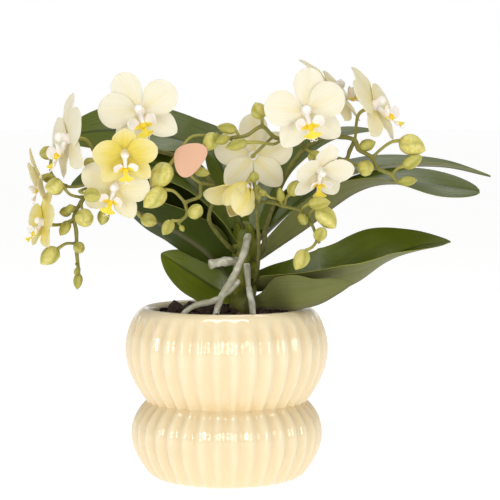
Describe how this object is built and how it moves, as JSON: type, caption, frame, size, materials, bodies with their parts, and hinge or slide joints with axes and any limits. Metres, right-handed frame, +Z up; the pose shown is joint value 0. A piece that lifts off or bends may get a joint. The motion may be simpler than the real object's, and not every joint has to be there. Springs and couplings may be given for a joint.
{
  "type": "potted orchid",
  "caption": "Small moth orchid with arching flower spikes, cream blooms and strap leaves, rooted in bark in a grow pot inside a ribbed, waisted ceramic pot.",
  "frame": {"origin": "middle of the ceramic pot's foot, on the surface that it stands on", "axes": "+Z up, +X to the right across the spread of leaves and flowers, front (flower side) facing -Y"},
  "size_m": [0.2788, 0.1346, 0.2509],
  "materials": {
    "glaze": "glossy cream glaze",
    "plastic": "dark thin plastic",
    "bark": "rough damp bark",
    "stem": "satin green stem",
    "leaf": "waxy dark green leaf",
    "root": "dull grey-green root",
    "spike": "satin olive flower stem with yellow-green buds",
    "petal": "soft cream petal",
    "lip": "yellow lip",
    "card": "peach card, blank"
  },
  "bodies": {
    "root": {"pot": "glaze", "grow_pot": "plastic", "bark": "bark", "stem": "stem", "leaf_left_top": "leaf", "leaf_left_second": "leaf", "leaf_left_third": "leaf", "leaf_left_low": "leaf", "leaf_left_bottom": "leaf", "leaf_right_top": "leaf", "leaf_right_second": "leaf", "leaf_right_low": "leaf", "leaf_right_bottom": "leaf", "leaf_back": "leaf", "root_left": "root", "root_right": "root", "root_stub": "root", "spike_left": "spike", "spike_centre": "spike", "spike_right": "spike", "spike_front": "spike", "bloom_a": "petal", "lip_a": "lip", "bloom_b": "petal", "lip_b": "lip", "bloom_c": "petal", "lip_c": "lip", "bloom_d": "petal", "lip_d": "lip", "bloom_e": "petal", "lip_e": "lip", "bloom_f": "petal", "lip_f": "lip", "bloom_i": "petal", "bloom_j": "petal", "lip_j": "lip", "bloom_m": "petal", "lip_m": "lip", "bloom_n": "petal", "lip_n": "lip", "bloom_o": "petal", "lip_o": "lip", "bloom_q": "petal", "lip_q": "lip", "tag": "card"}
  },
  "joints": []
}
